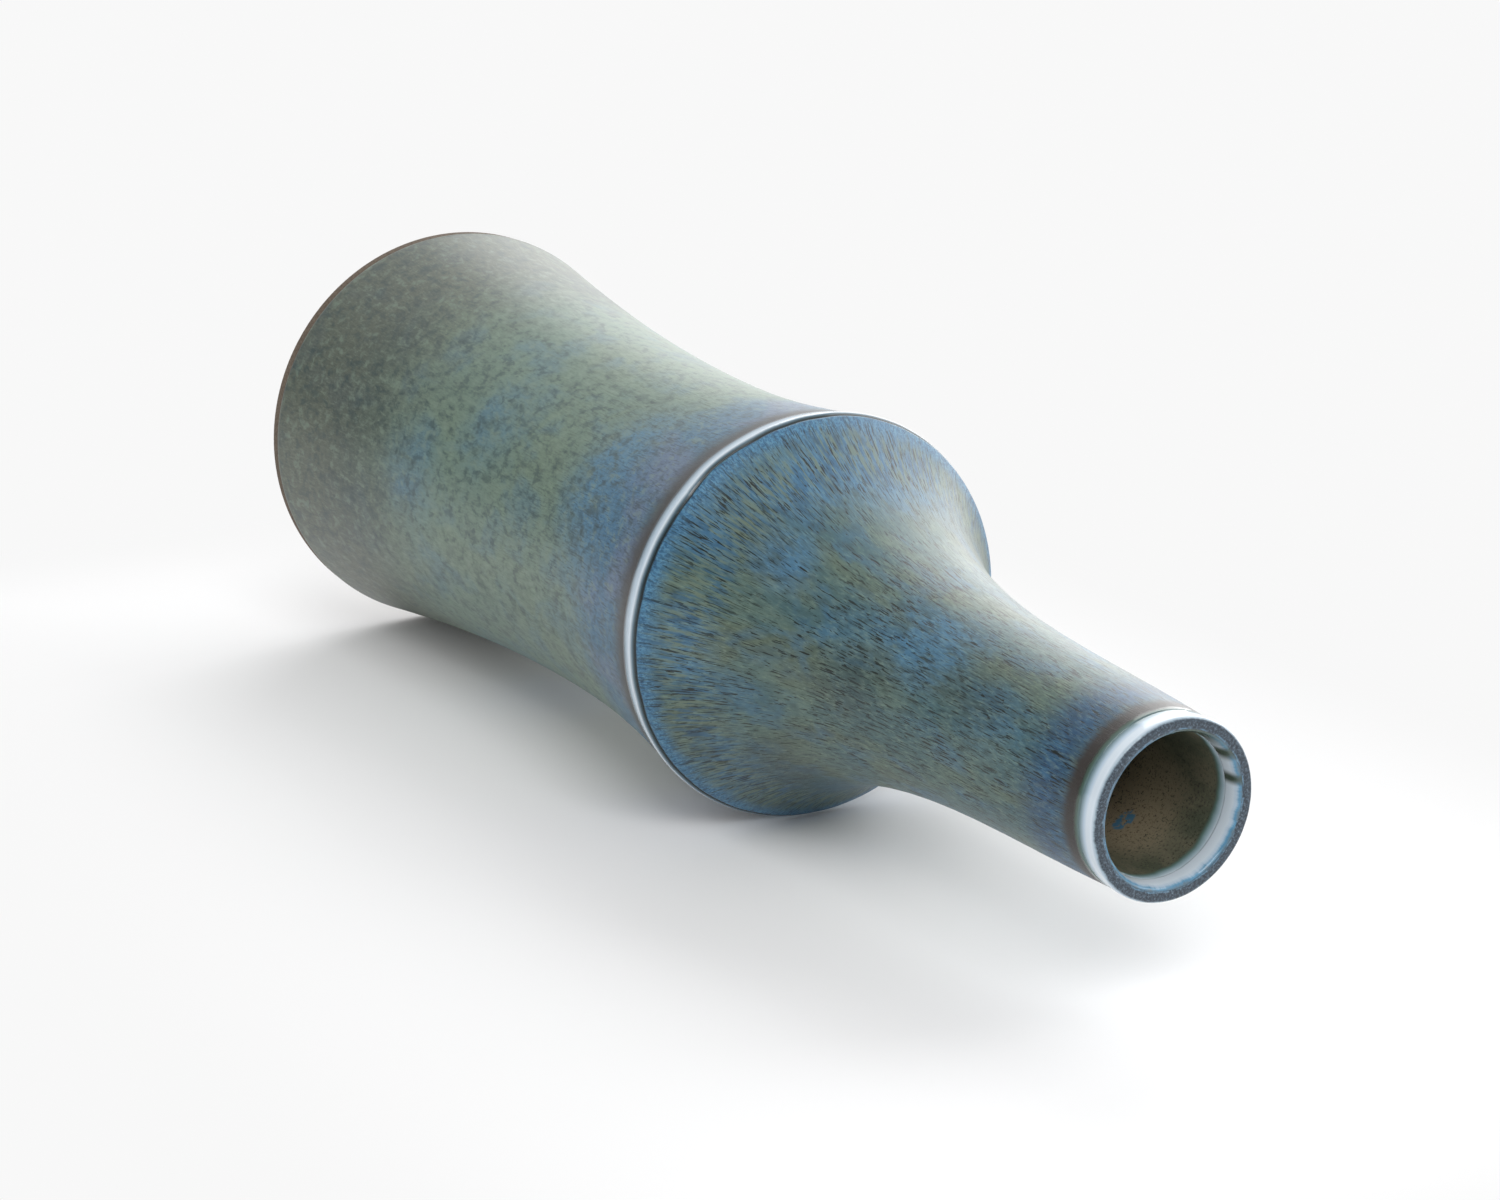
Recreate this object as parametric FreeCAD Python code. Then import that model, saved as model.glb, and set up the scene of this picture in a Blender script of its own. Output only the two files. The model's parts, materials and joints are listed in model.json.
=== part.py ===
"""Ceramic bud vase: two thrown clay sections luted together at the shoulder, under their glaze coats.

Millimetres, +Z up along the vase's axis, origin at the centre of the plane that the foot stands on.
"""
import FreeCAD, Part
import os
from collections import namedtuple
from math import cos, radians, sin, tan

# Outside of the finished vase, glaze included
body_height = 137.0        # from the table to the crown of the shoulder edge
neck_height = 93.0         # from the shoulder edge to the top of the lip
foot_radius = 38.0
waist_radius = 29.4
waist_height = 96.0
shoulder_radius = 32.8
shoulder_round = 2.0       # radius of the rounded shoulder edge
neck_root_radius = 17.3    # where the shoulder's cone has turned into the neck
neck_root_rise = 33.6      # height of that place above the shoulder edge
lip_radius = 12.7
foot_lean = radians(9.0)   # how far each stretch leans from upright
under_lean = radians(9.0)
cone_lean = radians(40.0)
root_lean = radians(11.3)
lip_lean = radians(4.6)

# Inside and walls
mouth_radius = 10.5        # clear bore of the finished mouth
throat_length = 17.0       # straight part of the bore below the lip
body_wall = 4.2            # clay only
neck_wall = 2.6            # clay only, at the root of the neck
floor_thickness = 5.0      # clay only
floor_corner = 9.0         # round between the floor and the wall inside

# Foot
foot_ring_width = 6.5
foot_recess_depth = 3.0
foot_edge_round = 1.0
recess_corner = 1.2        # round between the recess and the foot ring

# Joint between the sections
slip_thickness = 0.8

# Glaze
coat = 0.45                # outside coats
liner_coat = 0.40
base_coat = 0.40
bare_foot = 2.6            # wiped clean above the table
base_margin = 1.6          # wiped clean round the base glaze
coat_break = 1.1           # height above the shoulder edge where the neck's coat begins
lip_roll = 3.4             # how far the lip's coat comes down outside
lip_roll_inside = 2.8      # and inside
lip_round = 0.75

overall_height = body_height + neck_height

Station = namedtuple("Station", "height radius slope")


def point(radius, height):
    """A point of an outline, in the plane that is turned about the axis."""
    return FreeCAD.Vector(radius, 0.0, height)


def span(low, high):
    """A smooth wall line between two stations that keeps the slope of each."""
    third = (high.height - low.height) / 3.0
    curve = Part.BezierCurve()
    curve.setPoles([
        point(low.radius, low.height),
        point(low.radius + low.slope * third, low.height + third),
        point(high.radius - high.slope * third, high.height - third),
        point(high.radius, high.height),
    ])
    return curve.toShape()


def line(*corners):
    """Straight edges from corner to corner."""
    return [Part.makeLine(first, second) for first, second in zip(corners, corners[1:])]


def turned(edges):
    """The solid that a closed outline makes when it is turned about the axis."""
    face = Part.Face(Part.Wire(edges))
    return face.revolve(FreeCAD.Vector(0, 0, 0), FreeCAD.Vector(0, 0, 1), 360)


def slab(low, high):
    """Everything between two heights, wider than the vase."""
    reach = 2.0 * max(foot_radius, shoulder_radius)
    return Part.makeCylinder(reach, high - low, FreeCAD.Vector(0, 0, low))


def rounded(solid, radius, height):
    """The solid with every edge that lies flat at one height filleted."""
    near = 1e-4
    flat_edges = [
        edge for edge in solid.Edges
        if abs(edge.BoundBox.ZMin - height) < near and abs(edge.BoundBox.ZMax - height) < near
    ]
    return solid.makeFillet(radius, flat_edges)


def outside_form(inset):
    """The vase without its hollow, with every outside surface moved in by inset."""
    centre = shoulder_radius - shoulder_round
    turn = shoulder_round - inset
    foot = Station(0.0, foot_radius - inset, -tan(foot_lean))
    waist = Station(waist_height, waist_radius - inset, 0.0)
    under = Station(body_height - turn * sin(under_lean), centre + turn * cos(under_lean), tan(under_lean))
    over = Station(body_height + turn * sin(cone_lean), centre + turn * cos(cone_lean), -tan(cone_lean))
    root = Station(body_height + neck_root_rise, neck_root_radius - inset, -tan(root_lean))
    lip = Station(overall_height - inset, lip_radius - inset, -tan(lip_lean))
    crown = point(centre + turn, body_height)
    edge = Part.Arc(point(under.radius, under.height), crown, point(over.radius, over.height))
    walls = [span(foot, waist), span(waist, under), edge.toShape(), span(over, root), span(root, lip)]
    closing = line(
        point(lip.radius, lip.height),
        point(0.0, lip.height),
        point(0.0, 0.0),
        point(foot.radius, 0.0),
    )
    return turned(walls + closing)


def inside_form(outset):
    """The hollow, with every surface of the finished inside moved out by outset."""
    body_side = coat + body_wall + liner_coat - outset
    neck_side = coat + neck_wall + liner_coat - outset
    bottom = foot_recess_depth + floor_thickness + liner_coat - outset
    corner = floor_corner + outset
    wall_foot = bottom + corner
    lean = tan(foot_lean) * (1.0 - wall_foot / waist_height)
    drop = (foot_radius - waist_radius) * (1.0 - wall_foot / waist_height) ** 2
    foot = Station(wall_foot, waist_radius + drop - body_side, -lean)
    waist = Station(waist_height, waist_radius - body_side, 0.0)
    shoulder = Station(body_height, shoulder_radius - body_side, tan(under_lean))
    over = Station(body_height, shoulder_radius - body_side, -tan(cone_lean))
    root = Station(body_height + neck_root_rise, neck_root_radius - neck_side, -tan(root_lean))
    throat = Station(overall_height - throat_length, mouth_radius + outset, 0.0)
    top = overall_height + corner
    turn = Part.Arc(
        point(foot.radius - corner, bottom),
        point(foot.radius - corner * (1.0 - sin(radians(45))), bottom + corner * (1.0 - cos(radians(45)))),
        point(foot.radius, wall_foot),
    )
    walls = [turn.toShape(), span(foot, waist), span(waist, shoulder), span(over, root), span(root, throat)]
    closing = line(
        point(throat.radius, throat.height),
        point(throat.radius, top),
        point(0.0, top),
        point(0.0, bottom),
        point(foot.radius - corner, bottom),
    )
    return turned(walls + closing)


def foot_recess():
    """The hollow under the foot, inside the foot ring."""
    radius = foot_radius - coat - foot_ring_width
    recess = Part.makeCylinder(radius, foot_recess_depth)
    return rounded(recess, recess_corner, foot_recess_depth)


def lower_section():
    """Thrown body: foot ring, floor and waisted wall, up to the joint at the shoulder."""
    clay = outside_form(coat).common(slab(0.0, body_height - slip_thickness / 2.0))
    clay = clay.cut(foot_recess()).cut(inside_form(liner_coat))
    return rounded(clay, foot_edge_round, 0.0)


def upper_section():
    """Thrown shoulder and neck, from the joint up to the lip."""
    clay = outside_form(coat).common(slab(body_height + slip_thickness / 2.0, overall_height))
    return clay.cut(inside_form(liner_coat))


def seam_slip():
    """Ring of slip that lutes the rims of the two sections together, wiped flush inside."""
    ring = outside_form(coat).common(slab(body_height - slip_thickness / 2.0, body_height + slip_thickness / 2.0))
    return ring.cut(inside_form(liner_coat))


def outside_coat(low, high):
    """The coat that lies on the clay outside, between two heights."""
    return outside_form(0.0).cut(outside_form(coat)).common(slab(low, high))


def body_glaze():
    """Coat on the body, from the wiped foot over the rounded shoulder edge."""
    return outside_coat(bare_foot, body_height + coat_break)


def neck_glaze():
    """Coat on the cone of the shoulder and on the neck, up to the roll at the lip."""
    return outside_coat(body_height + coat_break, overall_height - lip_roll)


def lip_glaze():
    """Thick roll of glaze over the lip, outside, on top and inside."""
    low = overall_height - lip_roll
    ring = outside_form(0.0).common(slab(low, overall_height)).cut(inside_form(0.0))
    roll = ring.cut(upper_section())
    step = Part.makeCylinder(mouth_radius + liner_coat, lip_roll - lip_roll_inside, FreeCAD.Vector(0, 0, low))
    return rounded(roll.cut(step), lip_round, overall_height)


def liner_glaze():
    """Coat on the inside, from the floor up to the roll at the lip."""
    coat_inside = inside_form(liner_coat).cut(inside_form(0.0))
    low = foot_recess_depth + floor_thickness
    return coat_inside.common(slab(low, overall_height - lip_roll_inside))


def base_glaze():
    """Coat on the ceiling of the recess under the foot."""
    radius = foot_radius - coat - foot_ring_width - base_margin
    disc = Part.makeCylinder(radius, base_coat, FreeCAD.Vector(0, 0, foot_recess_depth - base_coat))
    return rounded(disc, 0.5 * base_coat, foot_recess_depth - base_coat)


pieces = {
    "lower_section": lower_section,
    "upper_section": upper_section,
    "seam_slip": seam_slip,
    "body_glaze": body_glaze,
    "neck_glaze": neck_glaze,
    "lip_glaze": lip_glaze,
    "liner_glaze": liner_glaze,
    "base_glaze": base_glaze,
}

os.makedirs("parts", exist_ok=True)
for name, make in pieces.items():
    solid = make()
    box = solid.BoundBox
    print(name, len(solid.Solids), "solid, valid", solid.isValid(), "volume %.1f" % solid.Volume,
          "z %.2f to %.2f" % (box.ZMin, box.ZMax), "r %.2f" % box.XMax)
    solid.exportStep("parts/%s.step" % name)
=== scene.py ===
import json
import math

import bpy
import numpy as np
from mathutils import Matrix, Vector


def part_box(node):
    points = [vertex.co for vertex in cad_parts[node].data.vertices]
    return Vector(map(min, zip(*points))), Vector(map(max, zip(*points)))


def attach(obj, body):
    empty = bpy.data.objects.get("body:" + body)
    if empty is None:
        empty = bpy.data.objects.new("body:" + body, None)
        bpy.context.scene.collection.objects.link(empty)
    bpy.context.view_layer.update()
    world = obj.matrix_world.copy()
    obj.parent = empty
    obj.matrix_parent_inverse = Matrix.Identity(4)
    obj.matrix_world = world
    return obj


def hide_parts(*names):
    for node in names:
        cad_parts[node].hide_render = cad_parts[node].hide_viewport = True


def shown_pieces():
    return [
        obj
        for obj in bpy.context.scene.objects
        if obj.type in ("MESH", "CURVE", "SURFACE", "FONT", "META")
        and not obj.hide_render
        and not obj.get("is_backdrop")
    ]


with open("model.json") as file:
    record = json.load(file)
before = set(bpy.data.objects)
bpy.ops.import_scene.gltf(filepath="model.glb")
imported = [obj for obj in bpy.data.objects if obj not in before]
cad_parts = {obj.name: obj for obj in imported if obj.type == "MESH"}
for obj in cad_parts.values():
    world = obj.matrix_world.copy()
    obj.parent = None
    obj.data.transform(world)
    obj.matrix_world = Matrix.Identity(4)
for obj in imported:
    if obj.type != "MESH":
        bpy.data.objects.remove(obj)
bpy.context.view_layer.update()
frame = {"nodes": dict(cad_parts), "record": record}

MM = 0.001


# ---------------------------------------------------------------------------
# Sizes read from the frame
# ---------------------------------------------------------------------------

def cad_rings(node):
    """(height, radius) of each ring of points on the outside of a CAD node, lowest first."""
    widest = {}
    for vertex in frame["nodes"][node].data.vertices:
        radius = math.hypot(vertex.co.x, vertex.co.y)
        outward = (vertex.normal.x * vertex.co.x + vertex.normal.y * vertex.co.y) / radius
        if outward > 0.3:
            height = round(vertex.co.z, 6)
            widest[height] = max(widest.get(height, 0.0), radius)
    return sorted(widest.items())


def smooth_line(points, heights):
    """Radii at the heights on a smooth line through (height, radius) points, with no overshoot."""
    z, r = (np.array(column) for column in zip(*points))
    step, rise = np.diff(z), np.diff(r)
    slope = rise / step
    tangent = np.zeros_like(z)
    same_way = slope[1:] * slope[:-1] > 0
    weight_low, weight_high = 2 * step[1:] + step[:-1], step[1:] + 2 * step[:-1]
    mean = (weight_low + weight_high) / (weight_low / np.where(same_way, slope[:-1], 1)
                                         + weight_high / np.where(same_way, slope[1:], 1))
    tangent[1:-1] = np.where(same_way, mean, 0.0)
    tangent[0], tangent[-1] = slope[0], slope[-1]
    heights = np.clip(heights, z[0], z[-1])
    i = np.clip(np.searchsorted(z, heights) - 1, 0, len(step) - 1)
    t = (heights - z[i]) / step[i]
    return ((2 * t**3 - 3 * t**2 + 1) * r[i] + (t**3 - 2 * t**2 + t) * step[i] * tangent[i]
            + (3 * t**2 - 2 * t**3) * r[i + 1] + (t**3 - t**2) * step[i] * tangent[i + 1])


body_low, body_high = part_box("body_glaze")
neck_low, neck_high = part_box("neck_glaze")
lip_low, lip_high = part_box("lip_glaze")
liner_low, liner_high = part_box("liner_glaze")
outer_points = cad_rings("body_glaze")[:-1] + cad_rings("neck_glaze")
shoulder_height, shoulder_radius = max((p for p in outer_points if p[0] > 0.5 * lip_high.z), key=lambda p: p[1])
foot_radius = body_high.x
mouth = next(m for m in frame["record"]["mounts"] if m["name"] == "mouth")
mouth_radius = mouth["dims"]["r_mm"] * MM
lip_radius = neck_line_top = cad_rings("neck_glaze")[-1][1]
top = lip_high.z
coat_break = neck_low.z

COAT = 0.40 * MM


def outer_radius(heights):
    """Radius of the finished outside, foot to lip."""
    return smooth_line(outer_points, np.asarray(heights, float))


# ---------------------------------------------------------------------------
# Meshes
# ---------------------------------------------------------------------------

def waves(seed, count, lowest, highest):
    """A gentle random wave round the vase: a function of the turn angle, about 1 high at most."""
    rng = np.random.default_rng(seed)
    turns = rng.integers(lowest, highest + 1, count)
    phases = rng.uniform(0, 2 * math.pi, count)
    sizes = rng.uniform(0.4, 1.0, count) / np.sqrt(turns / lowest)
    sizes /= sizes.sum() * 0.6

    def wave(angle):
        return sum(a * np.sin(n * angle + p) for a, n, p in zip(sizes, turns, phases))
    return wave


def revolved(name, rings, replaced, material):
    """A closed ring-shaped shell. rings is an array (ring, turn, 3) of points whose first ring follows the last."""
    count, turns, _ = rings.shape
    index = np.arange(count * turns).reshape(count, turns)
    beside, above = np.roll(index, -1, axis=1), np.roll(index, -1, axis=0)
    corner = np.roll(beside, -1, axis=0)
    faces = np.stack([index, beside, corner, above], axis=-1).reshape(-1, 4)
    mesh = bpy.data.meshes.new(name)
    mesh.from_pydata(rings.reshape(-1, 3).tolist(), [], faces.tolist())
    mesh.polygons.foreach_set("use_smooth", [True] * len(mesh.polygons))
    mesh.validate()
    piece = bpy.data.objects.new(name, mesh)
    bpy.context.scene.collection.objects.link(piece)
    mesh.materials.append(material)
    above = mesh.attributes.new("above_groove", "FLOAT", "POINT")
    above.data.foreach_set("value", ((rings[..., 2] - groove_height(ANGLES)) / MM).ravel())
    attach(piece, "root")
    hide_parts(replaced)
    return piece


def turned(radii, heights, angles):
    """Points of rings, from (ring, turn) radii and heights and the turn angles."""
    radii, heights, angles = np.broadcast_arrays(radii, heights, angles)
    return np.stack([radii * np.cos(angles), radii * np.sin(angles), heights], axis=-1)


TURNS = 512
ANGLES = np.linspace(0, 2 * math.pi, TURNS, endpoint=False)[None, :]

groove_wave = waves(7, 14, 3, 40)
slow_wave = waves(11, 5, 1, 4)
wall_wave = waves(19, 7, 2, 9)


def groove_height(angle):
    """Height of the irregular line where the coat of the neck meets the roll on the shoulder edge."""
    notch = -0.45 * MM * np.exp(-(((angle - 6.09) / 0.14) ** 2))
    sag = -0.40 * MM * (1 - np.cos(angle - 0.7))
    return coat_break + 0.13 * MM * groove_wave(angle) + notch + sag


def surface(heights):
    """Radius of the glazed outside with its small unevenness; heights is (ring, turn)."""
    radius = outer_radius(heights)
    spiral = np.sin(2 * math.pi * heights / (6.5 * MM) - ANGLES)
    away = np.clip((np.abs(heights - shoulder_height) - 3 * MM) / (6 * MM), 0, 1)
    away = away * np.clip((top - 6 * MM - heights) / (8 * MM), 0, 1)
    radius = radius + away * 0.006 * MM * spiral
    radius = radius + away * 0.04 * MM * wall_wave(ANGLES + heights / (60 * MM))
    roll = np.exp(-(((heights - shoulder_height + 0.4 * MM) / (0.95 * MM)) ** 2))
    groove = np.exp(-(((heights - groove_height(ANGLES)) / (0.30 * MM)) ** 2))
    return radius + (0.13 * roll - 0.24 * groove) * MM


def coat_between(low, high, rows):
    """Rings of a coat's outside between two edge heights, each a number or one value per turn."""
    share = rows[:, None]
    heights = low * (1 - share) + high * share
    return surface(heights), heights


def shell(name, radii, heights, thickness, thinning, replaced, material):
    """A coat with an outside, lowered by its thinning, and an inside, its thickness further in."""
    outside = turned(radii - thinning, heights, ANGLES)
    inside = turned(radii - thickness, heights, ANGLES)
    inside_rows = np.unique(np.append(np.arange(0, len(inside), 8), len(inside) - 1))
    rings = np.concatenate([outside, inside[inside_rows[::-1]]])
    return revolved(name, rings, replaced, material)


# ---------------------------------------------------------------------------
# Materials
# ---------------------------------------------------------------------------

class Shader:
    """Short names for the nodes of one material."""

    def __init__(self, name):
        self.material = bpy.data.materials.new(name)
        self.material.use_nodes = True
        self.nodes = self.material.node_tree.nodes
        self.links = self.material.node_tree.links
        self.surface = self.nodes["Principled BSDF"]
        self.output = self.nodes["Material Output"]

    def put(self, value, socket):
        """Links a node's output to a socket, or writes a plain value there."""
        if isinstance(value, bpy.types.NodeSocket):
            self.links.new(value, socket)
        elif isinstance(value, (tuple, list)) and len(value) == 3 and len(socket.default_value) == 4:
            socket.default_value = (*value, 1.0)
        else:
            socket.default_value = value

    def math(self, operation, *values, clamp=False):
        node = self.nodes.new("ShaderNodeMath")
        node.operation = operation
        node.use_clamp = clamp
        for value, socket in zip(values, node.inputs):
            self.put(value, socket)
        return node.outputs[0]

    def position(self):
        """Height in mm, radius in mm, and the unit direction away from the axis, of the shaded point."""
        coordinates = self.nodes.new("ShaderNodeTexCoord")
        split = self.nodes.new("ShaderNodeSeparateXYZ")
        self.put(coordinates.outputs["Object"], split.inputs[0])
        x, y, z = split.outputs
        radius = self.math("SQRT", self.math("ADD", self.math("MULTIPLY", x, x), self.math("MULTIPLY", y, y)))
        radius = self.math("MAXIMUM", radius, 1e-6)
        self.across = self.math("DIVIDE", x, radius)
        self.along = self.math("DIVIDE", y, radius)
        self.height = self.math("MULTIPLY", z, 1000.0)
        self.radius = self.math("MULTIPLY", radius, 1000.0)
        self.turn = self.math("ARCTAN2", y, x)
        self.object_place = coordinates.outputs["Object"]

    def flow(self, round_rate, rise_rate, shift=0.0, twist=None):
        """A place on the unrolled wall, for noise: round_rate cells per radian, rise_rate cells per mm up."""
        joined = self.nodes.new("ShaderNodeCombineXYZ")
        rise = self.math("MULTIPLY_ADD", self.height, rise_rate, shift)
        if twist is not None:
            rise = self.math("ADD", rise, twist)
        self.put(self.math("MULTIPLY", self.across, round_rate), joined.inputs[0])
        self.put(self.math("MULTIPLY", self.along, round_rate), joined.inputs[1])
        self.put(rise, joined.inputs[2])
        return joined.outputs[0]

    def noise(self, place, scale=1.0, detail=3.0, roughness=0.55, distortion=0.0):
        node = self.nodes.new("ShaderNodeTexNoise")
        self.put(place, node.inputs["Vector"])
        node.inputs["Scale"].default_value = scale
        node.inputs["Detail"].default_value = detail
        node.inputs["Roughness"].default_value = roughness
        node.inputs["Distortion"].default_value = distortion
        return node.outputs["Fac"]

    def steps(self, value, low, high):
        """0 below low, 1 above high, smooth between; low may be above high."""
        node = self.nodes.new("ShaderNodeMapRange")
        node.interpolation_type = "SMOOTHSTEP"
        node.clamp = True
        if low > high:
            low, high, ends = high, low, (1.0, 0.0)
        else:
            ends = (0.0, 1.0)
        self.put(value, node.inputs["Value"])
        node.inputs["From Min"].default_value = low
        node.inputs["From Max"].default_value = high
        node.inputs["To Min"].default_value, node.inputs["To Max"].default_value = ends
        return node.outputs["Result"]

    def band(self, value, low, high, soft):
        """1 between low and high, falling to 0 over soft on each side."""
        return self.math("MULTIPLY", self.steps(value, low - soft, low + soft),
                         self.steps(value, high + soft, high - soft))

    def ramp(self, value, stops, interpolation="LINEAR"):
        node = self.nodes.new("ShaderNodeValToRGB")
        node.color_ramp.interpolation = interpolation
        elements = node.color_ramp.elements
        while len(elements) < len(stops):
            elements.new(0.5)
        for element, (place, color) in zip(elements, stops):
            element.position = place
            element.color = (*color, 1.0)
        self.put(value, node.inputs[0])
        return node.outputs[0]

    def mix(self, share, first, second, blend="MIX"):
        node = self.nodes.new("ShaderNodeMix")
        node.data_type = "RGBA"
        node.blend_type = blend
        self.put(share, node.inputs[0])
        self.put(first, node.inputs[6])
        self.put(second, node.inputs[7])
        return node.outputs[2]

    def blend(self, share, first, second):
        """A number that goes from first to second as share goes from 0 to 1."""
        node = self.nodes.new("ShaderNodeMix")
        node.data_type = "FLOAT"
        self.put(share, node.inputs[0])
        self.put(first, node.inputs[2])
        self.put(second, node.inputs[3])
        return node.outputs[0]

    def bump(self, height, strength, distance):
        node = self.nodes.new("ShaderNodeBump")
        self.put(strength, node.inputs["Strength"])
        node.inputs["Distance"].default_value = distance
        self.put(height, node.inputs["Height"])
        return node.outputs[0]

    def patch(self, degrees, height, half_round, half_rise):
        """1 at a place on the wall, given by its angle and height in mm, falling to 0 at its half sizes."""
        angle = math.radians(degrees)
        facing = self.math("ADD", self.math("MULTIPLY", self.across, math.cos(angle)),
                           self.math("MULTIPLY", self.along, math.sin(angle)))
        away = self.math("ARCCOSINE", self.math("MINIMUM", facing, 1.0))
        away = self.math("DIVIDE", self.math("MULTIPLY", away, self.radius), half_round)
        rise = self.math("DIVIDE", self.math("SUBTRACT", self.height, height), half_rise)
        distance = self.math("SQRT", self.math("ADD", self.math("MULTIPLY", away, away),
                                               self.math("MULTIPLY", rise, rise)))
        return self.steps(distance, 1.0, 0.15)


SAGE = (0.094, 0.146, 0.116)
BODY_SAGE = (0.160, 0.230, 0.172)
PALE_SAGE = (0.175, 0.240, 0.190)
TEAL = (0.055, 0.115, 0.122)
DEEP_TEAL = (0.026, 0.052, 0.058)
OLIVE = (0.078, 0.102, 0.068)
BROWN = (0.030, 0.024, 0.021)
GREY_BROWN = (0.078, 0.082, 0.064)
BLUE = (0.034, 0.130, 0.245)
DEEP_BLUE = (0.010, 0.054, 0.135)
SKY = (0.090, 0.255, 0.405)
VIOLET = (0.090, 0.140, 0.255)
SLATE = (0.110, 0.170, 0.215)
PALE = (0.440, 0.560, 0.670)
WHITE_BLUE = (0.640, 0.720, 0.790)
SEA_GREEN = (0.060, 0.105, 0.085)
FLECK = (0.006, 0.011, 0.010)


def outside_glaze(name):
    """The mottled blue, green and olive glaze of the body, cone and neck."""
    s = Shader(name)
    s.position()
    hue = s.noise(s.flow(2.4, 0.055, 60.0), detail=2, roughness=0.5, distortion=0.4)
    patches = s.noise(s.flow(4.2, 0.10), detail=3, roughness=0.55, distortion=0.4)
    small = s.noise(s.flow(13.0, 0.26, 20.0), detail=4, roughness=0.6, distortion=0.3)
    on_neck = s.steps(s.height, shoulder_mm + 10.0, shoulder_mm + 34.0)
    on_cone = s.steps(s.height, shoulder_mm + 1.0, shoulder_mm + 4.0)
    grain = s.blend(on_neck, s.noise(s.flow(90.0, 0.62, 40.0), detail=4, roughness=0.7, distortion=0.3),
                    s.noise(s.flow(50.0, 0.62, 41.0), detail=4, roughness=0.7, distortion=0.3))

    # soft zones of colour
    on_body = s.steps(s.height, shoulder_mm, shoulder_mm - 12.0)
    color = s.mix(s.steps(hue, 0.40, 0.60), TEAL, SAGE)
    color = s.mix(s.math("MULTIPLY", s.steps(hue, 0.52, 0.66), 0.6), color, OLIVE)
    color = s.mix(s.math("MULTIPLY", on_body, 0.75), color, BODY_SAGE)
    color = s.mix(s.math("MULTIPLY", s.steps(patches, 0.52, 0.32), s.blend(on_body, 0.46, 0.30)), color, BLUE)
    color = s.mix(s.math("MULTIPLY", s.steps(patches, 0.54, 0.70), 0.4), color, SAGE)

    wobble = s.math("MULTIPLY", s.math("SUBTRACT", s.noise(s.flow(5.0, 0.0), detail=3), 0.5), 7.0)
    small_wobble = s.math("MULTIPLY", s.math("SUBTRACT", s.noise(s.flow(16.0, 0.0), detail=3), 0.5), 1.0)
    uneven = s.math("ADD", s.height, wobble)
    edge = s.math("ADD", s.height, small_wobble)

    # olive brown towards the foot
    foot = s.steps(s.math("ADD", uneven, s.math("MULTIPLY", small, 30.0)), 78.0, 34.0)
    color = s.mix(s.math("MULTIPLY", foot, 0.8), color, GREY_BROWN)

    # blue and dark patches, broken up by the grain
    broken_by = s.math("ADD", s.math("MULTIPLY", s.math("SUBTRACT", small, 0.5), 1.3),
                       s.math("MULTIPLY", s.math("SUBTRACT", grain, 0.5), 0.9))
    for degrees, height, half_round, half_rise, strength in BLUE_PATCHES:
        spot = s.patch(degrees, height, half_round * 1.5, half_rise * 1.5)
        spot = s.math("MULTIPLY", s.math("MULTIPLY_ADD", broken_by, 1.8, 1.0), spot, clamp=True)
        spot = s.math("MULTIPLY", spot, strength)
        color = s.mix(spot, color, s.mix(small, DEEP_BLUE, SKY))
    for degrees, height, half_round, half_rise, strength in DARK_PATCHES:
        spot = s.patch(degrees, height, half_round * 1.4, half_rise * 1.4)
        color = s.mix(s.math("MULTIPLY", spot, strength), color, DEEP_TEAL)

    # blue under the shoulder and under the lip
    under = s.band(uneven, shoulder_mm - 20.0, shoulder_mm - 2.5, 6.0)
    color = s.mix(s.math("MULTIPLY", under, 0.8), color, s.mix(s.steps(hue, 0.42, 0.58), BLUE, VIOLET))
    under_lip = s.band(edge, top_mm - 15.0, top_mm - 6.0, 4.0)
    color = s.mix(s.math("MULTIPLY", under_lip, 0.85), color, s.mix(s.steps(small, 0.45, 0.80), DEEP_BLUE, BLUE))

    # light and dark grain, drawn out along the wall
    dry = s.blend(on_cone, 0.45, 0.75)
    color = s.mix(s.math("MULTIPLY", s.steps(grain, 0.50, 0.70), dry), color,
                  s.mix(0.55, s.mix(1.0, color, (1.9, 1.8, 1.6), "MULTIPLY"), PALE_SAGE))
    color = s.mix(s.math("MULTIPLY", s.steps(grain, 0.50, 0.30), dry), color,
                  s.mix(1.0, color, (0.35, 0.42, 0.50), "MULTIPLY"))
    color = s.mix(s.math("MULTIPLY", s.steps(small, 0.48, 0.32), 0.45), color, DEEP_TEAL)
    mottle = s.noise(s.flow(19.0, 0.45, 30.0), detail=4, roughness=0.6, distortion=0.3)
    color = s.mix(s.math("MULTIPLY", s.steps(mottle, 0.50, 0.31), s.blend(on_body, 0.25, 0.6)), color, DEEP_TEAL)
    color = s.mix(s.math("MULTIPLY", s.steps(mottle, 0.51, 0.69), s.blend(on_body, 0.25, 0.5)), color, PALE_SAGE)

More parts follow.
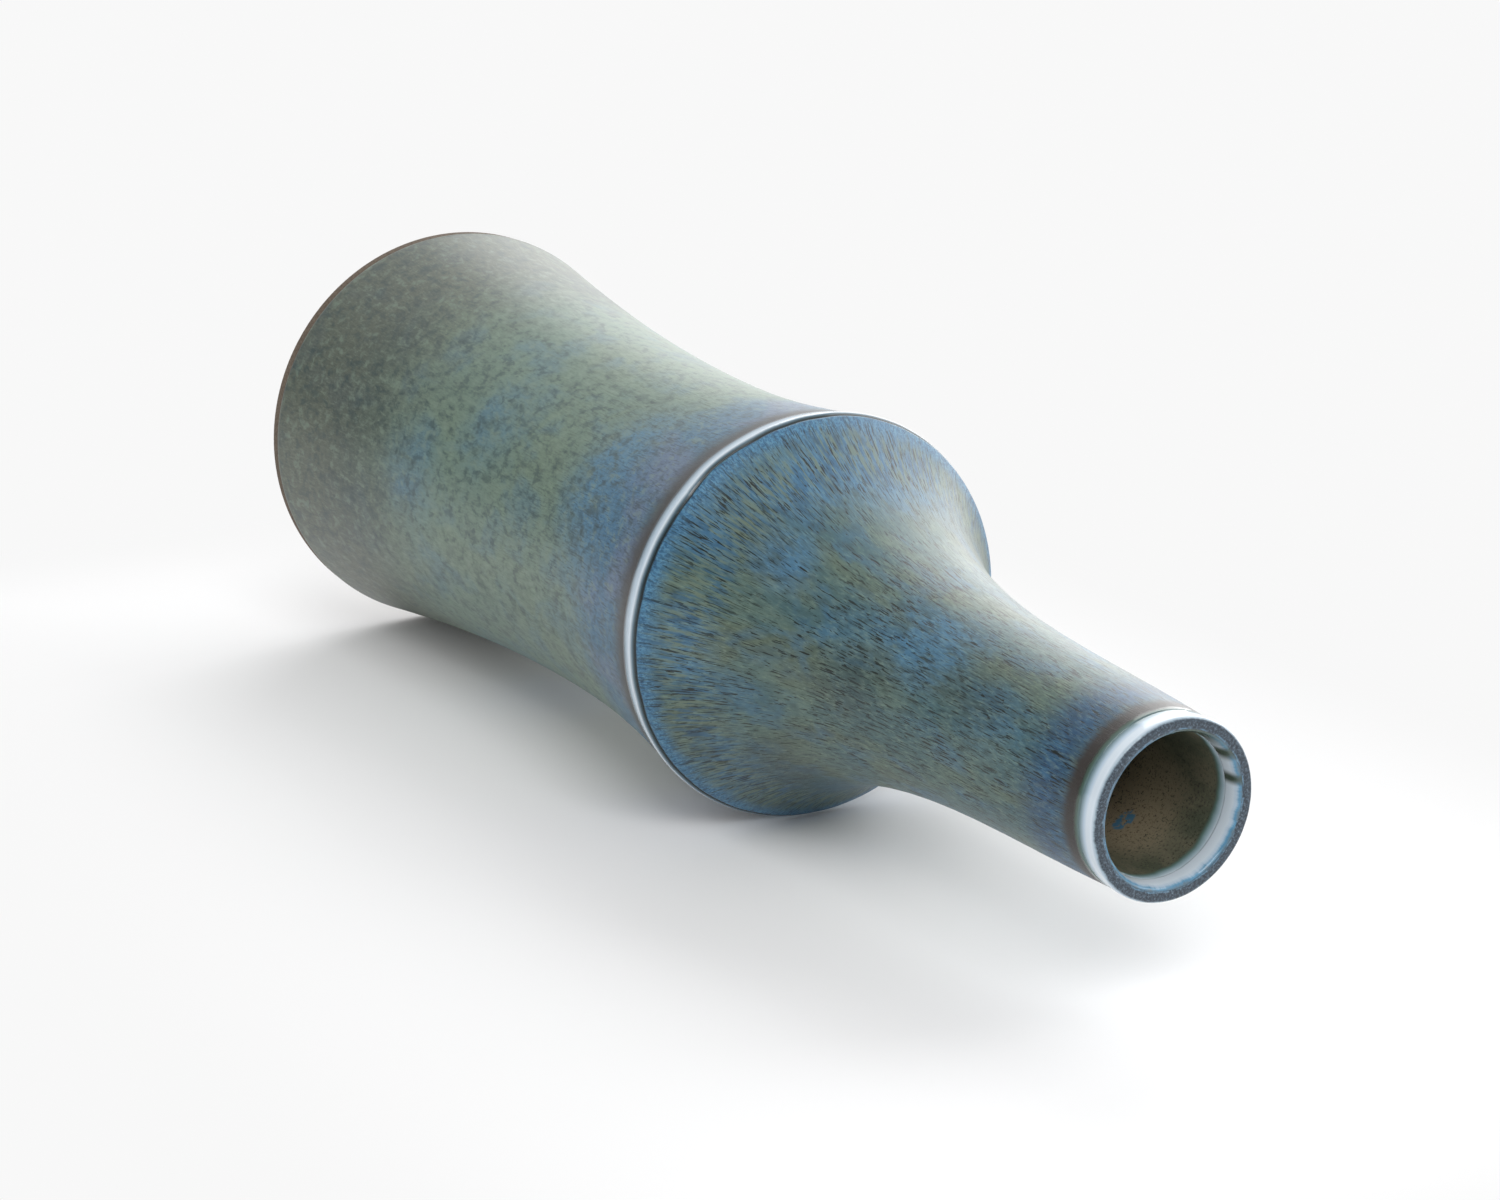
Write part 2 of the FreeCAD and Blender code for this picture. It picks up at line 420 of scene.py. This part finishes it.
    # lace of blue and light dots inside the shoulder edge, then blotches that run towards the neck
    lace_noise = s.noise(s.flow(90.0, 1.9), detail=4, roughness=0.7, distortion=0.8)
    lace_color = s.ramp(lace_noise, [(0.33, DEEP_BLUE), (0.47, BLUE), (0.60, SKY), (0.75, PALE_SAGE)])
    lace = s.math("MULTIPLY", s.steps(edge, shoulder_mm + 0.6, shoulder_mm + 1.2),
                  s.steps(edge, shoulder_mm + 4.6, shoulder_mm + 1.8))
    color = s.mix(s.math("MULTIPLY", lace, 0.9), color, lace_color)
    blotch_noise = s.noise(s.flow(48.0, 0.24, 5.0), detail=3, roughness=0.6, distortion=0.3)
    blotch_zone = s.band(uneven, shoulder_mm + 3.5, shoulder_mm + 12.0, 3.5)
    color = s.mix(s.math("MULTIPLY", s.math("MULTIPLY", s.steps(blotch_noise, 0.50, 0.60), blotch_zone), 0.75),
                  color, (0.130, 0.175, 0.125))
    color = s.mix(s.math("MULTIPLY", s.math("MULTIPLY", s.steps(blotch_noise, 0.49, 0.40), blotch_zone), 0.6),
                  color, s.mix(small, DEEP_BLUE, BLUE))

    # dark flecks drawn out along the wall
    bend = s.math("MULTIPLY", s.noise(s.flow(9.0, 0.25), detail=2), 1.0)
    flecks = s.blend(on_neck, s.noise(s.flow(115.0, 0.40, 0.0, bend), detail=2.5, roughness=0.6, distortion=0.35),
                     s.noise(s.flow(64.0, 0.40, 9.0, bend), detail=2.5, roughness=0.6, distortion=0.35))
    near_shoulder = s.steps(s.height, 40.0, shoulder_mm - 10.0)
    crowded = s.blend(on_cone, s.math("MULTIPLY", near_shoulder, 0.45), 1.0)
    crowded = s.math("MULTIPLY", crowded, s.blend(s.steps(patches, 0.60, 0.40), 0.75, 1.0))
    mask = s.math("MULTIPLY", s.steps(flecks, 0.445, 0.400), crowded)
    color = s.mix(mask, color, FLECK)

    # a brown break, the pale roll with painted shade down its sides and a painted highlight along its middle, and a
    # painted shade line at the shoulder edge
    attribute = s.nodes.new("ShaderNodeAttribute")
    attribute.attribute_name = "above_groove"
    above = attribute.outputs["Fac"]
    brown = s.math("MULTIPLY", s.steps(s.math("MULTIPLY_ADD", small, 3.0, above), -8.5, -2.6),
                   s.steps(above, -2.2, -3.4))
    color = s.mix(s.math("MULTIPLY", brown, 0.9), color, BROWN)
    roll = s.band(above, -3.5, 0.0, 0.4)
    # painted light on the roll: over the pale glaze, the ramp darkens both sides of the bead as painted shade and
    # lifts its middle to near white as a painted highlight
    color = s.mix(roll, color, s.ramp(s.math("MULTIPLY_ADD", above, 1 / 3.8, 1.0),
                                      [(0.0, BROWN), (0.16, (0.09, 0.13, 0.16)), (0.36, (0.26, 0.36, 0.45)),
                                       (0.58, PALE), (0.78, WHITE_BLUE), (0.90, SLATE), (0.97, DEEP_TEAL)]))
    # painted shade: a near-black line along the groove between the roll and the neck coat
    color = s.mix(s.math("MULTIPLY", s.band(above, -0.22, 0.16, 0.16), 0.9), color, (0.012, 0.016, 0.014))

    # and the same below the lip, the roll again with painted shade down its sides and a painted highlight along its
    # middle
    brown = s.band(edge, top_mm - 6.7, top_mm - 3.2, 1.1)
    color = s.mix(s.math("MULTIPLY", brown, 0.97), color, BROWN)
    lip_band = s.steps(edge, top_mm - 4.7, top_mm - 4.1)
    color = s.mix(lip_band, color, outer_roll(s, s.math("SUBTRACT", top_mm, s.height)))
    s.put(color, s.surface.inputs["Base Color"])

    glossy = s.math("MAXIMUM", roll, lip_band)
    s.put(s.blend(glossy, s.blend(small, 0.36, 0.46), 0.12), s.surface.inputs["Roughness"])
    matte = s.math("SUBTRACT", 1.0, glossy)
    relief = s.math("SUBTRACT", s.math("MULTIPLY", grain, 0.5), s.math("MULTIPLY", mask, 0.5))
    s.put(s.bump(s.math("MULTIPLY", relief, matte), 0.35, 0.10 * MM), s.surface.inputs["Normal"])
    return s.material


shoulder_mm = shoulder_height / MM
top_mm = top / MM

# angle in degrees, height, half width and half height in mm, strength
BLUE_PATCHES = [
    (5, 112, 15, 11, 0.8),
    (38, 118, 14, 9, 0.5),
    (34, 50, 9, 9, 0.3),
    (8, 70, 10, 8, 0.25),
    (-55, 146, 16, 9, 0.8),
    (-20, 146, 8, 5, 0.6),
    (4, 141, 7, 4, 0.6),
    (-2, 154, 5, 5, 0.8),
    (40, 144, 7, 5, 0.6),
    (90, 146, 10, 7, 0.5),
    (-2, 186, 7, 9, 0.75),
    (12, 172, 5, 6, 0.35),
    (15, 204, 5, 8, 0.45),
    (120, 60, 14, 14, 0.5),
    (160, 110, 14, 12, 0.6),
    (200, 40, 12, 12, 0.35),
    (250, 95, 14, 12, 0.5),
    (130, 155, 7, 7, 0.6),
    (220, 160, 7, 8, 0.6),
    (170, 195, 7, 10, 0.5),
    (270, 200, 7, 10, 0.5),
]
DARK_PATCHES = [
    (37, 174, 6, 8, 0.6),
    (10, 200, 5, 9, 0.4),
    (42, 32, 16, 12, 0.3),
    (0, 30, 10, 8, 0.25),
    (110, 152, 12, 10, 0.6),
    (190, 172, 6, 8, 0.5),
    (280, 30, 14, 12, 0.4),
]


def outer_roll(s, depth):
    """Colour of the roll outside the lip: brown, green and grey-blue, then almost white. Over the pale glaze, the
    grey-blue rise and the darker top edge are painted shade of the rounded roll, and the almost white middle is a
    painted highlight.
    """
    return s.ramp(s.math("DIVIDE", s.math("SUBTRACT", 4.7, depth), 4.7),
                  [(0.0, BROWN), (0.17, SEA_GREEN), (0.34, (0.15, 0.23, 0.26)), (0.52, PALE), (0.66, WHITE_BLUE),
                   (0.88, WHITE_BLUE), (0.97, (0.34, 0.44, 0.52))])


def inner_roll(s, depth):
    """Colour of the roll inside the lip, from its top edge down to the dark liner."""
    return s.ramp(s.math("DIVIDE", depth, 5.8),
                  [(0.0, SLATE), (0.05, SKY), (0.11, PALE), (0.20, WHITE_BLUE), (0.44, WHITE_BLUE),
                   (0.58, (0.33, 0.46, 0.51)), (0.70, (0.12, 0.20, 0.18)), (0.84, (0.045, 0.050, 0.030))])


def rim_glaze(name):
    """The lip: pale rolls outside and inside, the outer one with painted shade and a painted highlight, with a dark
    grainy ring between them.
    """
    s = Shader(name)
    s.position()
    grain = s.noise(s.object_place, scale=2600.0, detail=4, roughness=0.8)
    vein = s.noise(s.flow(7.0, 0.0, 3.0), detail=4, roughness=0.7)
    place = s.math("ADD", s.radius, s.math("MULTIPLY", s.math("SUBTRACT", vein, 0.5), 0.5))
    depth = s.math("SUBTRACT", top_mm, s.height)
    wavy_depth = s.math("ADD", depth, s.math("MULTIPLY", s.math("SUBTRACT", vein, 0.5), 1.0))

    ring = s.math("MULTIPLY", s.steps(place, mouth_mm + 0.72, mouth_mm + 0.92),
                  s.steps(place, lip_mm + 0.02, lip_mm - 0.30))
    ring = s.math("MULTIPLY", ring, s.steps(depth, 0.9, 0.5))
    slate = s.ramp(grain, [(0.32, (0.012, 0.018, 0.026)), (0.50, (0.032, 0.048, 0.068)),
                           (0.60, (0.090, 0.130, 0.170)), (0.72, (0.26, 0.33, 0.40))])
    line = s.band(place, mouth_mm + 0.90, mouth_mm + 1.02, 0.12)
    line = s.math("MULTIPLY", line, s.steps(s.noise(s.flow(5.0, 0.0, 9.0), detail=2), 0.42, 0.58))
    slate = s.mix(s.math("MULTIPLY", line, 0.75), slate, (0.16, 0.34, 0.50))

    pale_inside = inner_roll(s, wavy_depth)
    drip = s.math("MAXIMUM", s.patch(-122, top_mm - 2.0, 1.3, 6.0), s.patch(-98, top_mm - 1.5, 2.0, 5.0))
    drip = s.math("MAXIMUM", drip, s.patch(-60, top_mm - 2.0, 9.0, 9.0))
    pale_inside = s.mix(drip, pale_inside, s.mix(grain, (0.03, 0.045, 0.038), (0.09, 0.12, 0.09)))
    outside = s.steps(s.radius, mouth_mm + 1.3, mouth_mm + 1.4)
    # outside the ring, the outer roll colour with its painted shade and painted highlight
    color = s.mix(outside, pale_inside, outer_roll(s, depth))
    color = s.mix(ring, color, slate)
    s.put(color, s.surface.inputs["Base Color"])
    s.put(s.blend(ring, 0.12, s.blend(grain, 0.22, 0.50)), s.surface.inputs["Roughness"])
    s.put(s.bump(s.math("MULTIPLY", grain, ring), 0.35, 0.1 * MM), s.surface.inputs["Normal"])
    return s.material


def inside_glaze(name):
    """Olive-brown liner with grain, specks, a painted pool of light and a small blue fleck on the wall below the
    mouth.
    """
    s = Shader(name)
    s.position()
    grain = s.noise(s.object_place, scale=2600.0, detail=4, roughness=0.75)
    broad = s.noise(s.flow(2.2, 0.09), detail=4, roughness=0.6)
    color = s.mix(s.steps(broad, 0.35, 0.65), (0.080, 0.090, 0.060), (0.150, 0.140, 0.095))
    # painted light: a pool of light on the inside wall below the mouth, where light falls in
    color = s.mix(s.patch(175, top_mm - 20.0, 15.0, 14.0), color, (0.400, 0.325, 0.215))
    color = s.mix(s.math("MULTIPLY", s.steps(grain, 0.55, 0.75), 0.5), color, (0.30, 0.27, 0.18))
    color = s.mix(s.math("MULTIPLY", s.steps(grain, 0.47, 0.37), 0.85), color, (0.016, 0.017, 0.012))
    branches = s.noise(s.object_place, scale=650.0, detail=3, roughness=0.7, distortion=1.2)
    fleck = s.math("MULTIPLY", s.patch(168, top_mm - 18.2, 2.6, 1.9), s.steps(branches, 0.42, 0.52))
    color = s.mix(s.steps(fleck, 0.10, 0.35), color, (0.11, 0.27, 0.42))
    depth = s.math("SUBTRACT", top_mm, s.height)
    wavy_depth = s.math("ADD", depth, s.math("MULTIPLY", s.math("SUBTRACT", broad, 0.5), 1.0))
    color = s.mix(s.steps(wavy_depth, 5.0, 4.0), color, inner_roll(s, wavy_depth))
    s.put(color, s.surface.inputs["Base Color"])
    s.put(s.blend(grain, 0.35, 0.65), s.surface.inputs["Roughness"])
    s.put(s.bump(grain, 0.3, 0.08 * MM), s.surface.inputs["Normal"])
    return s.material


def bare_clay(name, light, dark):
    """Unglazed stoneware: grog specks, turning lines and a dry surface."""
    s = Shader(name)
    s.position()
    grain = s.noise(s.object_place, scale=1800.0, detail=5, roughness=0.75)
    rings = s.noise(s.flow(0.6, 3.2), detail=2)
    color = s.mix(s.steps(grain, 0.3, 0.7), dark, light)
    color = s.mix(s.math("MULTIPLY", s.steps(grain, 0.66, 0.74), 0.6), color, (0.05, 0.03, 0.02))
    s.put(color, s.surface.inputs["Base Color"])
    s.put(s.blend(grain, 0.7, 0.92), s.surface.inputs["Roughness"])
    relief = s.math("ADD", s.math("MULTIPLY", grain, 0.6), s.math("MULTIPLY", rings, 0.4))
    s.put(s.bump(relief, 0.5, 0.15 * MM), s.surface.inputs["Normal"])
    return s.material


lip_mm = lip_radius / MM
mouth_mm = mouth_radius / MM

CLAY_LIGHT = (0.165, 0.130, 0.098)
CLAY_DARK = (0.085, 0.064, 0.048)
outside_material = outside_glaze("outside_glaze")
rim_material = rim_glaze("rim_glaze")
inside_material = inside_glaze("inside_glaze")
clay_material = bare_clay("bare_clay", CLAY_LIGHT, CLAY_DARK)
slip_material = bare_clay("dried_slip", (0.200, 0.160, 0.122), (0.110, 0.085, 0.064))

# ---------------------------------------------------------------------------
# Pieces
# ---------------------------------------------------------------------------

ease = np.linspace(0, 1, 260)
body_rows = np.concatenate([ease * 0.965, 0.965 + 0.035 * np.linspace(0, 1, 61)[1:]])
edge_gap = 0.02 * MM
radii, heights = coat_between(body_low.z, groove_height(ANGLES) - edge_gap, body_rows)
edge_share = np.clip((heights - body_low.z) / (1.1 * MM), 0, 1)
foot_thinning = 0.9 * COAT * (1 - np.sqrt(1 - (1 - edge_share) ** 2))
shell("body_coat", radii, heights, COAT, foot_thinning, "body_glaze", outside_material)

lip_start = neck_high.z
neck_rows = np.concatenate([0.05 * np.linspace(0, 1, 50), 0.05 + 0.95 * np.linspace(0, 1, 220)[1:]])
radii, heights = coat_between(groove_height(ANGLES) + edge_gap, lip_start, neck_rows)
shell("neck_coat", radii, heights, COAT, 0.0, "neck_glaze", outside_material)


def arc_points(start, control, end, count=14):
    """Points of a rounded corner from start to end, drawn towards control."""
    t = np.linspace(0, 1, count)[:, None]
    start, control, end = (np.array(point) for point in (start, control, end))
    return (1 - t) ** 2 * start + 2 * t * (1 - t) * control + t**2 * end


def lip_outline():
    """Section of the roll, as (radius, height): up the outside, over the ring on top and down inside."""
    low_radius, top_radius = outer_radius([lip_start, top])
    bulge = 0.12 * MM
    ring_out, ring_in = top_radius - 0.36 * MM, mouth_radius + 0.85 * MM
    share = np.linspace(0, 1, 20)
    rise = lip_start + share * (top - 0.75 * MM - lip_start)
    outside = np.stack([outer_radius(rise) + bulge * share**2 * (3 - 2 * share), rise], axis=-1)
    shoulder = arc_points(outside[-1], (top_radius + 0.7 * bulge, top - 0.06 * MM), (ring_out, top - 0.02 * MM))
    ring = arc_points(shoulder[-1], ((ring_out + ring_in) / 2, top + 0.02 * MM), (ring_in, top - 0.06 * MM))
    inside = arc_points(ring[-1], (mouth_radius + 0.05 * MM, top - 0.20 * MM), (mouth_radius, liner_high.z), 24)
    back = [(mouth_radius + COAT, liner_high.z), (mouth_radius + 1.2 * COAT, top - 1.2 * MM),
            (top_radius - COAT, top - 1.2 * MM), (low_radius - COAT, lip_start)]
    return np.concatenate([outside, shoulder[1:], ring[1:], inside[1:], back])


lip_section = lip_outline()
lip_rings = turned(lip_section[:, :1], lip_section[:, 1:], ANGLES)
revolved("lip_roll", lip_rings, "lip_glaze", rim_material)

frame["nodes"]["liner_glaze"].data.materials.clear()
for node, material in [
    ("liner_glaze", inside_material),
    ("lower_section", clay_material),
    ("upper_section", clay_material),
    ("seam_slip", slip_material),
    ("base_glaze", inside_material),
]:
    mesh_object = frame["nodes"][node]
    if not mesh_object.material_slots:
        mesh_object.data.materials.append(material)
    for place in mesh_object.material_slots:
        place.material = material

# ---------------------------------------------------------------------------
# Stage, light and camera. The vase lies on its side for the picture: the floor
# touches the foot's edge and the shoulder's edge.
# ---------------------------------------------------------------------------

side = Vector((1, -1, 0)).normalized()                 # away from the floor, square to the axis
lean = math.atan((foot_radius - shoulder_radius) / (shoulder_height - body_low.z))
floor_up = (side * math.cos(lean) - Vector((0, 0, 1)) * math.sin(lean)).normalized()
floor_point = -side * foot_radius + Vector((0, 0, body_low.z)) - floor_up * 0.25 * MM

eye = Vector((0.2717, 0.0632, 0.5298))
target = Vector((0.0, 0.0026, 0.1197))
forward = (target - eye).normalized()
picture_right = forward.cross(floor_up).normalized()
toward = picture_right.cross(floor_up).normalized()    # along the floor, away from the camera
toward = -toward if toward.dot(forward) > 0 else toward

camera = bpy.data.objects.new("camera", bpy.data.cameras.new("camera"))
bpy.context.scene.collection.objects.link(camera)
camera.data.sensor_width = 36.0
camera.data.lens = 73.7
camera.location = eye
picture_up = picture_right.cross(forward)
from mathutils import Matrix
camera.rotation_mode = "QUATERNION"
camera.rotation_quaternion = Matrix((picture_right, picture_up, -forward)).transposed().to_quaternion()
bpy.context.scene.camera = camera


def floor():
    """A pale sheet that the vase lies on, seen from its upper side only."""
    reach = 4.0
    mesh = bpy.data.meshes.new("floor")
    corners = [floor_point + toward * a * reach + picture_right * b * reach
               for a, b in ((-1, -1), (1, -1), (1, 1), (-1, 1))]
    mesh.from_pydata([tuple(c) for c in corners], [], [(0, 1, 2, 3)])
    if mesh.polygons[0].normal.dot(floor_up) < 0:
        mesh.flip_normals()
    sheet = bpy.data.objects.new("floor", mesh)
    bpy.context.scene.collection.objects.link(sheet)
    s = Shader("floor")
    s.nodes.remove(s.surface)
    rays = s.nodes.new("ShaderNodeLightPath")
    seen = s.math("MAXIMUM", rays.outputs["Is Camera Ray"], rays.outputs["Is Glossy Ray"])
    seen = s.math("MAXIMUM", seen, rays.outputs["Is Transmission Ray"])
    geometry = s.nodes.new("ShaderNodeNewGeometry")
    split = s.nodes.new("ShaderNodeSeparateXYZ")
    s.put(geometry.outputs["Position"], split.inputs[0])
    x, y, z = split.outputs
    beside = s.math("SQRT", s.math("ADD", s.math("MULTIPLY", x, x), s.math("MULTIPLY", y, y)))
    beyond = s.math("ABSOLUTE", s.math("SUBTRACT", z, 0.5 * top))
    far = s.math("MAXIMUM", s.steps(beside, 0.03, 0.13), s.steps(beyond, 0.11, 0.20))
    far = s.math("MULTIPLY", far, seen)
    paper = s.nodes.new("ShaderNodeBsdfDiffuse")
    paper.inputs["Color"].default_value = (0.90, 0.90, 0.905, 1.0)
    white = s.nodes.new("ShaderNodeEmission")
    white.inputs["Strength"].default_value = 0.94
    upper = s.nodes.new("ShaderNodeMixShader")
    s.put(far, upper.inputs[0])
    s.put(paper.outputs[0], upper.inputs[1])
    s.put(white.outputs[0], upper.inputs[2])
    clear = s.nodes.new("ShaderNodeBsdfTransparent")
    either = s.nodes.new("ShaderNodeMixShader")
    s.put(geometry.outputs["Backfacing"], either.inputs[0])
    s.put(upper.outputs[0], either.inputs[1])
    s.put(clear.outputs[0], either.inputs[2])
    s.put(either.outputs[0], s.output.inputs["Surface"])
    mesh.materials.append(s.material)
    sheet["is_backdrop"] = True
    return sheet


def softbox(name, right, up, near, size, power, aim=(0, 0, 0.12)):
    """An area lamp placed by metres to the right, up from the floor and towards the camera, aimed at the vase."""
    lamp = bpy.data.lights.new(name, "AREA")
    lamp.shape = "RECTANGLE"
    lamp.size, lamp.size_y = size
    lamp.energy = power
    holder = bpy.data.objects.new(name, lamp)
    aim = Vector(aim)
    holder.location = aim + picture_right * right + floor_up * up + toward * near
    holder.rotation_mode = "QUATERNION"
    holder.rotation_quaternion = (aim - holder.location).to_track_quat("-Z", "Y")
    holder.visible_camera = False
    bpy.context.scene.collection.objects.link(holder)
    return holder


sheet = floor()
softbox("key", 0.17, 0.80, 0.87, (0.6, 0.6), 6.6)
softbox("side_rear", 1.0, 0.7, -0.35, (0.9, 0.9), 7.4)
softbox("rear", 0.4, 0.55, -1.15, (1.8, 0.9), 14.5)
fill = softbox("fill", -1.0, 0.7, 0.2, (0.9, 0.9), 3.5)
fill.visible_glossy = False
under = softbox("under", 0.0, -0.9, 0.1, (1.2, 1.2), 0.8)
under.visible_glossy = False

vase_only = bpy.data.collections.new("vase_only")
bpy.context.scene.collection.children.link(vase_only)
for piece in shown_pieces():
    vase_only.objects.link(piece)
under.light_linking.receiver_collection = vase_only
under.light_linking.blocker_collection = vase_only



def studio_world():
    """White to the camera. For light and reflections it is bright behind and to the right, dim in front."""
    world = bpy.data.worlds.new("world")
    bpy.context.scene.world = world
    world.use_nodes = True
    nodes, links = world.node_tree.nodes, world.node_tree.links
    sky = nodes["Background"]
    rays = nodes.new("ShaderNodeLightPath")
    direction = nodes.new("ShaderNodeTexCoord").outputs["Generated"]
    bright_side = (picture_right * 0.6 + floor_up * 0.5 - toward * 0.62).normalized()
    facing = nodes.new("ShaderNodeVectorMath")
    facing.operation = "DOT_PRODUCT"
    links.new(direction, facing.inputs[0])
    facing.inputs[1].default_value = bright_side
    levels = []
    for dim, bright in ((0.30, 0.45), (0.20, 1.0)):
        level = nodes.new("ShaderNodeMapRange")
        level.interpolation_type = "SMOOTHSTEP"
        level.inputs["From Min"].default_value = -0.25
        level.inputs["From Max"].default_value = 0.55
        level.inputs["To Min"].default_value = dim
        level.inputs["To Max"].default_value = bright
        links.new(facing.outputs["Value"], level.inputs["Value"])
        levels.append(level.outputs["Result"])
    reflected = nodes.new("ShaderNodeMix")
    links.new(rays.outputs["Is Glossy Ray"], reflected.inputs[0])
    links.new(levels[0], reflected.inputs[2])
    links.new(levels[1], reflected.inputs[3])
    seen = nodes.new("ShaderNodeMix")
    links.new(rays.outputs["Is Camera Ray"], seen.inputs[0])
    links.new(reflected.outputs[0], seen.inputs[2])
    seen.inputs[3].default_value = 0.955
    links.new(seen.outputs[0], sky.inputs["Strength"])
    sky.inputs["Color"].default_value = (1.0, 1.0, 1.0, 1.0)


studio_world()
bpy.context.scene.view_settings.view_transform = "Standard"
